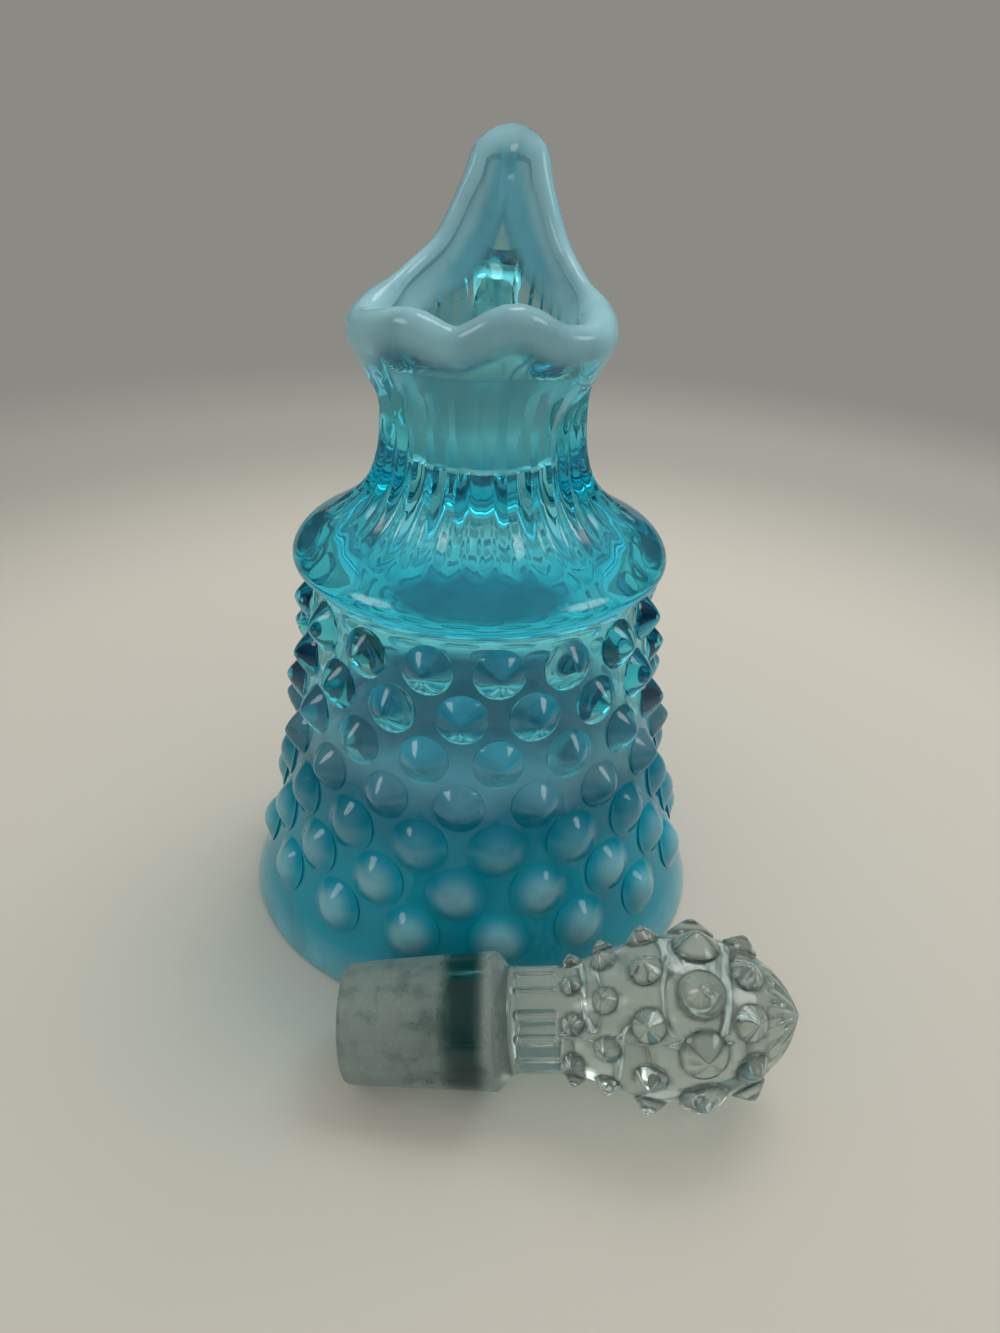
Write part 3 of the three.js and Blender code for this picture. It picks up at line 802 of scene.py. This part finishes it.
def add(tree, kind, inputs=None, **settings):
    """Adds a node with its own settings, and values or links for its inputs."""
    new = tree.nodes.new("ShaderNode" + kind)
    for key, value in settings.items():
        setattr(new, key, value)
    for key, value in (inputs or {}).items():
        if isinstance(value, bpy.types.NodeSocket):
            tree.links.new(value, new.inputs[key])
        else:
            new.inputs[key].default_value = value
    return new


def new_material(name):
    """A material with an empty node tree."""
    material = bpy.data.materials.new(name)
    material.use_nodes = True
    material.node_tree.nodes.clear()
    return material, material.node_tree


def finish_glass(tree, surface, passed, absorbed, per_metre):
    """Lets a share of the light through to the table, and gives the glass its colour by depth."""
    path = add(tree, "LightPath")
    through = add(tree, "BsdfTransparent", {"Color": SHADOW_TINT})
    share = add(tree, "Math", {0: path.outputs["Is Shadow Ray"], 1: passed}, operation="MULTIPLY")
    mixed = add(tree, "MixShader", {0: share.outputs[0], 1: surface, 2: through.outputs[0]})
    depth = add(tree, "VolumeAbsorption", {"Color": absorbed, "Density": per_metre})
    add(tree, "OutputMaterial", {"Surface": mixed.outputs[0], "Volume": depth.outputs[0]})


GLASS_IOR = 1.5
# the roughness of glass that the fire has smoothed
FIRE_POLISHED = 0.03
# how wide the drifts are in the opal
OPAL_CLOUD = 9 * MM
# how strongly a trace of opal tints the clear glass
TRACE_TINT = 12.0
CLEAR = linear("#ffffff")
OPAL_BODY = linear("#0992a9")
OPAL_MILK = linear("#97c6cf")
HAZE_TINT = linear("#c2f9fd")
COLLAR_TINT = linear("#61efff")
SHADOW_TINT = linear("#f7fcfc")
# what is left of red, green and blue light is exp(-depth * its strength per metre * (1 - colour))
BLUE_BY_DEPTH = linear("#76eff5")
BLUE_PER_METRE = 100
GREY_BY_DEPTH = linear("#c4ddda")
GREY_PER_METRE = 14


def opalescent_glass():
    """Fire-polished blue glass, milk-white with opal at the foot, on the low knobs and along the lip."""
    material, tree = new_material("fire_polished_blue_opalescent_glass")
    opal = add(tree, "Attribute", attribute_name="opal").outputs["Fac"]
    white = add(tree, "Attribute", attribute_name="milk").outputs["Fac"]
    collar = add(tree, "Attribute", attribute_name="collar_depth").outputs["Fac"]
    ground = add(tree, "Attribute", attribute_name="ground").outputs["Fac"]
    place = add(tree, "TexCoord").outputs["Object"]
    cloud = add(tree, "TexNoise", {"Vector": place, "Scale": 1 / OPAL_CLOUD, "Detail": 3.0}).outputs["Fac"]
    drift = {"Value": cloud, "From Min": 0.3, "From Max": 0.7, "To Min": 0.8, "To Max": 1.15}
    wisps = add(tree, "MapRange", drift).outputs[0]
    cloudy = add(tree, "Math", {0: opal, 1: wisps}, operation="MULTIPLY", use_clamp=True).outputs[0]

    # a trace of opal, or the bore's grinding, tints the clear glass, and dense opal covers that tint
    trace = {0: cloudy, 1: TRACE_TINT, 2: ground}
    hazed = add(tree, "Math", trace, operation="MULTIPLY_ADD", use_clamp=True).outputs[0]
    faint = add(tree, "MixRGB", {"Fac": white, "Color1": HAZE_TINT, "Color2": OPAL_MILK}).outputs[0]
    deep = add(tree, "MixRGB", {"Fac": collar, "Color1": faint, "Color2": COLLAR_TINT}).outputs[0]
    tinted = add(tree, "MixRGB", {"Fac": hazed, "Color1": CLEAR, "Color2": deep}).outputs[0]
    body = add(tree, "MixRGB", {"Fac": white, "Color1": OPAL_BODY, "Color2": OPAL_MILK}).outputs[0]
    dense = add(tree, "MapRange", {"Value": cloudy, "From Min": 0.12, "From Max": 0.4}).outputs[0]
    colour = add(tree, "MixRGB", {"Fac": dense, "Color1": tinted, "Color2": body}).outputs[0]
    clear = add(tree, "MapRange", {"Value": cloudy, "To Min": 1.0, "To Max": 0.1}).outputs[0]
    rough = add(tree, "MapRange", {"Value": ground, "To Min": FIRE_POLISHED, "To Max": 0.42}).outputs[0]
    values = {"Base Color": colour, "Transmission Weight": clear, "Roughness": rough, "IOR": GLASS_IOR}
    values["Specular IOR Level"] = 0.3
    shader = add(tree, "BsdfPrincipled", values)
    passed = add(tree, "MapRange", {"Value": cloudy, "To Min": 0.95, "To Max": 0.65}).outputs[0]
    finish_glass(tree, shader.outputs[0], passed, BLUE_BY_DEPTH, BLUE_PER_METRE)
    return material


def blue_glass():
    """The handle's clear blue glass, smooth from the fire."""
    material, tree = new_material("fire_polished_blue_glass")
    values = {"Base Color": CLEAR, "Transmission Weight": 1.0, "Roughness": FIRE_POLISHED, "IOR": GLASS_IOR}
    shader = add(tree, "BsdfPrincipled", values)
    finish_glass(tree, shader.outputs[0], 0.95, BLUE_BY_DEPTH, BLUE_PER_METRE)
    return material


# the real grit is about 0.1 mm, too fine to show, so it is drawn at 0.5 mm
GRIT = 0.5 * MM
# the grinding bit unevenly, in patches of this size
WEAR_PATCH = 3 * MM
PRESSED_GLASS = linear("#cfd6cf")
FROSTED_GLASS = linear("#a9b5ae")
# painted shade: the dark teal that the bottle's blue foot and the shadow under the plug show through the
# unground band
BARE_BAND_PAINTED_SHADE = linear("#1f5452")
# painted shade round the foot of each of the finial's knobs
KNOB_FOOT_PAINTED_SHADE = linear("#6c7672")
# painted glints in the frost
PAINTED_GLINT = linear("#dfe6e0")


def clear_glass():
    """Clear pressed glass, with the plug ground to a grey frost with painted glints in specks, painted
    shade on the bare band, and painted shade round the finial's knobs.
    """
    material, tree = new_material("pressed_clear_glass_with_ground_plug")
    ground = add(tree, "Attribute", attribute_name="ground").outputs["Fac"]
    plug = add(tree, "Attribute", attribute_name="plug").outputs["Fac"]
    knob_foot_shade = add(tree, "Attribute", attribute_name="knob_foot_shade").outputs["Fac"]
    place = add(tree, "TexCoord").outputs["Object"]
    grit = add(tree, "TexNoise", {"Vector": place, "Scale": 1 / GRIT, "Detail": 2.0}).outputs["Fac"]
    cloud = add(tree, "TexNoise", {"Vector": place, "Scale": 1 / WEAR_PATCH, "Detail": 4.0}).outputs["Fac"]
    wear = {"Value": cloud, "From Min": 0.35, "From Max": 0.65, "To Min": -0.35, "To Max": 0.35}
    uneven = add(tree, "MapRange", wear).outputs[0]
    worn = add(tree, "Math", {0: ground, 1: uneven}, operation="ADD", use_clamp=True).outputs[0]
    frost = add(tree, "Math", {0: worn, 1: ground}, operation="MULTIPLY", use_clamp=True).outputs[0]
    unground = add(tree, "Math", {0: plug, 1: frost}, operation="SUBTRACT", use_clamp=True).outputs[0]
    coarsest = {"Value": grit, "From Min": 0.6, "From Max": 0.72, "To Max": 0.5}
    speck = add(tree, "MapRange", coarsest).outputs[0]
    # painted glints: the coarsest specks of the frost are painted near white
    glints = add(tree, "Math", {0: frost, 1: speck}, operation="MULTIPLY").outputs[0]

    body = add(tree, "MixRGB", {"Fac": frost, "Color1": PRESSED_GLASS, "Color2": FROSTED_GLASS}).outputs[0]
    # the unground band takes a painted dark teal shade in its colour
    band_shaded = add(tree, "MixRGB", {"Fac": unground, "Color1": body, "Color2": BARE_BAND_PAINTED_SHADE}).outputs[0]
    # painted shade: the finial's knobs get a dark line round their feet
    knob_foot_shaded = add(tree, "MixRGB", {"Fac": knob_foot_shade, "Color1": band_shaded, "Color2": KNOB_FOOT_PAINTED_SHADE}).outputs[0]
    colour = add(tree, "MixRGB", {"Fac": glints, "Color1": knob_foot_shaded, "Color2": PAINTED_GLINT}).outputs[0]
    clear = add(tree, "MapRange", {"Value": frost, "To Min": 0.9, "To Max": 0.7}).outputs[0]
    rough = add(tree, "MapRange", {"Value": frost, "To Min": 0.06, "To Max": 0.5}).outputs[0]
    bite = add(tree, "MapRange", {"Value": frost, "To Max": 0.4}).outputs[0]
    bump = add(tree, "Bump", {"Strength": bite, "Distance": 0.1 * MM, "Height": grit}).outputs[0]
    values = {"Base Color": colour, "Transmission Weight": clear, "Roughness": rough, "IOR": GLASS_IOR}
    values["Normal"] = bump
    shader = add(tree, "BsdfPrincipled", values)
    passed = add(tree, "MapRange", {"Value": plug, "To Min": 0.75, "To Max": 0.35}).outputs[0]
    finish_glass(tree, shader.outputs[0], passed, GREY_BY_DEPTH, GREY_PER_METRE)
    return material


# Stage

TABLE = linear("#c3bfb5")
TABLE_EDGE = linear("#9c9b93")
BACKDROP = linear("#8b8a85")
ROOM = linear("#f4f2ee")
# the room's light, where 1 is white: the glass shows the pale one through it and reflects the dim one
PALE_CEILING = (1.1, 1.1, 1.08, 1)
PALE_WALL = (0.6, 0.6, 0.59, 1)
DIM_CEILING = (0.3, 0.3, 0.3, 1)
DIM_WALL = (0.03, 0.03, 0.03, 1)
WINDOW = (4.5, 4.5, 4.4, 1)
# windows on the left, on the right and behind
WINDOW_DIRECTIONS = ((-0.75, -0.15, 0.65), (0.72, -0.1, 0.68), (0.1, 0.4, 0.9))
TABLE_SIDE = 12
# how far from the bottle's axis the table darkens, and how far out it turns into the backdrop
DARKENS = (150 * MM, 300 * MM)
TURNS_GREY = (300 * MM, 420 * MM)
# the photo's viewpoint, fitted to the round foot, the knob rows, the collar and the lip
CAMERA_PLACE = (0, -202.74 * MM, 166.03 * MM)
CAMERA_PITCH = math.radians(29.91)
CAMERA_YAW = math.radians(1.31)
CAMERA_ROLL = math.radians(2.08)
# Blender takes these two in millimetres
SENSOR_WIDTH = 36
FOCAL_LENGTH = 31.03


def table_finish():
    """A pale matt table that glows in the backdrop's grey far out, so that the two meet with no edge."""
    material, tree = new_material("matt_pale_table")
    place = add(tree, "TexCoord").outputs["Object"]
    away = add(tree, "VectorMath", {0: place}, operation="LENGTH").outputs["Value"]
    edge = {"Value": away, "From Min": DARKENS[0], "From Max": DARKENS[1]}
    fall = add(tree, "MapRange", edge, interpolation_type="SMOOTHSTEP").outputs[0]
    beyond = {"Value": away, "From Min": TURNS_GREY[0], "From Max": TURNS_GREY[1]}
    far = add(tree, "MapRange", beyond, interpolation_type="SMOOTHSTEP").outputs[0]
    colour = add(tree, "MixRGB", {"Fac": fall, "Color1": TABLE, "Color2": TABLE_EDGE}).outputs[0]
    values = {"Base Color": colour, "Roughness": 0.8, "Specular IOR Level": 0.2}
    near_table = add(tree, "BsdfPrincipled", values).outputs[0]
    far_table = add(tree, "Emission", {"Color": BACKDROP}).outputs[0]
    mixed = add(tree, "MixShader", {0: far, 1: near_table, 2: far_table}).outputs[0]
    add(tree, "OutputMaterial", {"Surface": mixed})
    return material


def table():
    """One wide plane at the height of the foot."""
    bpy.ops.object.select_all(action="DESELECT")
    bpy.ops.mesh.primitive_plane_add(size=TABLE_SIDE)
    floor = bpy.context.object
    floor.name = "table"
    floor.data.materials.append(table_finish())


def lamp(name, place, target, width, depth, watts):
    """A soft rectangular lamp that lights the glass and isn't seen in it."""
    bpy.ops.object.select_all(action="DESELECT")
    bpy.ops.object.light_add(type="AREA", location=place)
    light = bpy.context.object
    light.name = name
    light.data.shape = "RECTANGLE"
    light.data.size = width
    light.data.size_y = depth
    light.data.energy = watts
    light.rotation_euler = (Vector(target) - Vector(place)).to_track_quat("-Z", "Y").to_euler()
    light.visible_camera = False
    light.visible_glossy = False
    light.visible_transmission = False


def studio():
    """A large soft lamp behind and above, and a pale room whose windows show in the glass."""
    lamp("rear_softbox", place=(0.25, 0.3, 0.75), target=(0, 0, 0.05), width=0.5, depth=0.4, watts=3.2)
    world = bpy.data.worlds.new("pale_room")
    bpy.context.scene.world = world
    world.use_nodes = True
    tree = world.node_tree
    tree.nodes.clear()
    path = add(tree, "LightPath").outputs
    bent = path["Is Transmission Ray"]
    direction = add(tree, "TexCoord").outputs["Generated"]
    parts = add(tree, "SeparateXYZ", {0: direction}).outputs

    # what shows in the glass: walls, a ceiling and windows
    upward = {"Value": parts["Z"], "From Min": 0.05, "From Max": 0.75}
    rise = add(tree, "MapRange", upward, interpolation_type="SMOOTHSTEP").outputs[0]
    ceiling = add(tree, "MixRGB", {"Fac": bent, "Color1": DIM_CEILING, "Color2": PALE_CEILING}).outputs[0]
    wall = add(tree, "MixRGB", {"Fac": bent, "Color1": DIM_WALL, "Color2": PALE_WALL}).outputs[0]
    shown = add(tree, "MixRGB", {"Fac": rise, "Color1": wall, "Color2": ceiling}).outputs[0]
    for window_direction in WINDOW_DIRECTIONS:
        along = {0: direction, 1: Vector(window_direction).normalized()}
        toward = add(tree, "VectorMath", along, operation="DOT_PRODUCT").outputs["Value"]
        spread = {"Value": toward, "From Min": 0.97, "From Max": 0.992}
        window = add(tree, "MapRange", spread, interpolation_type="SMOOTHSTEP").outputs[0]
        shown = add(tree, "MixRGB", {"Fac": window, "Color1": shown, "Color2": WINDOW}).outputs[0]
    in_glass = add(tree, "Background", {"Color": shown}).outputs[0]

    # what lights everything else, a little stronger from the front, and the plain grey that the camera sees
    frontward = {"Value": parts["Y"], "From Min": -1.0, "From Max": 0.0, "To Min": 1.02, "To Max": 0.67}
    strength = add(tree, "MapRange", frontward).outputs[0]
    room = add(tree, "Background", {"Color": ROOM, "Strength": strength}).outputs[0]
    glassy = add(tree, "Math", {0: path["Is Glossy Ray"], 1: bent}, operation="MAXIMUM").outputs[0]
    mixed = add(tree, "MixShader", {0: glassy, 1: room, 2: in_glass}).outputs[0]
    backdrop = add(tree, "Background", {"Color": BACKDROP}).outputs[0]
    framed = add(tree, "MixShader", {0: path["Is Camera Ray"], 1: mixed, 2: backdrop}).outputs[0]
    add(tree, "OutputWorld", {"Surface": framed})


def camera():
    """Looks down from the photo's viewpoint, turned and rolled as the photo is."""
    level = math.cos(CAMERA_PITCH)
    forward = Vector((math.sin(CAMERA_YAW) * level, math.cos(CAMERA_YAW) * level, -math.sin(CAMERA_PITCH)))
    right = forward.cross(UP).normalized()
    above = right.cross(forward)
    across = right * math.cos(CAMERA_ROLL) + above * math.sin(CAMERA_ROLL)
    upright = above * math.cos(CAMERA_ROLL) - right * math.sin(CAMERA_ROLL)
    bpy.ops.object.select_all(action="DESELECT")
    bpy.ops.object.camera_add(location=CAMERA_PLACE)
    view = bpy.context.object
    view.rotation_euler = Matrix((across, upright, -forward)).transposed().to_euler()
    view.data.sensor_width = SENSOR_WIDTH
    view.data.lens = FOCAL_LENGTH
    view.data.clip_start = 10 * MM
    bpy.context.scene.camera = view


camera()
pieces = (
    (bottle, opalescent_glass, "bottle", "cruet", "blue_opalescent_glass"),
    (handle, blue_glass, "handle", "cruet", "blue_glass"),
    (stopper, clear_glass, "stopper", "stopper", "clear_glass"),
)
for make, finish, node, body, slot in pieces:
    piece = make()
    piece.data.materials.clear()
    piece.data.materials.append(finish())
    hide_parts(node)
    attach(piece, body)
table()
studio()
bpy.context.scene.view_settings.view_transform = "Standard"
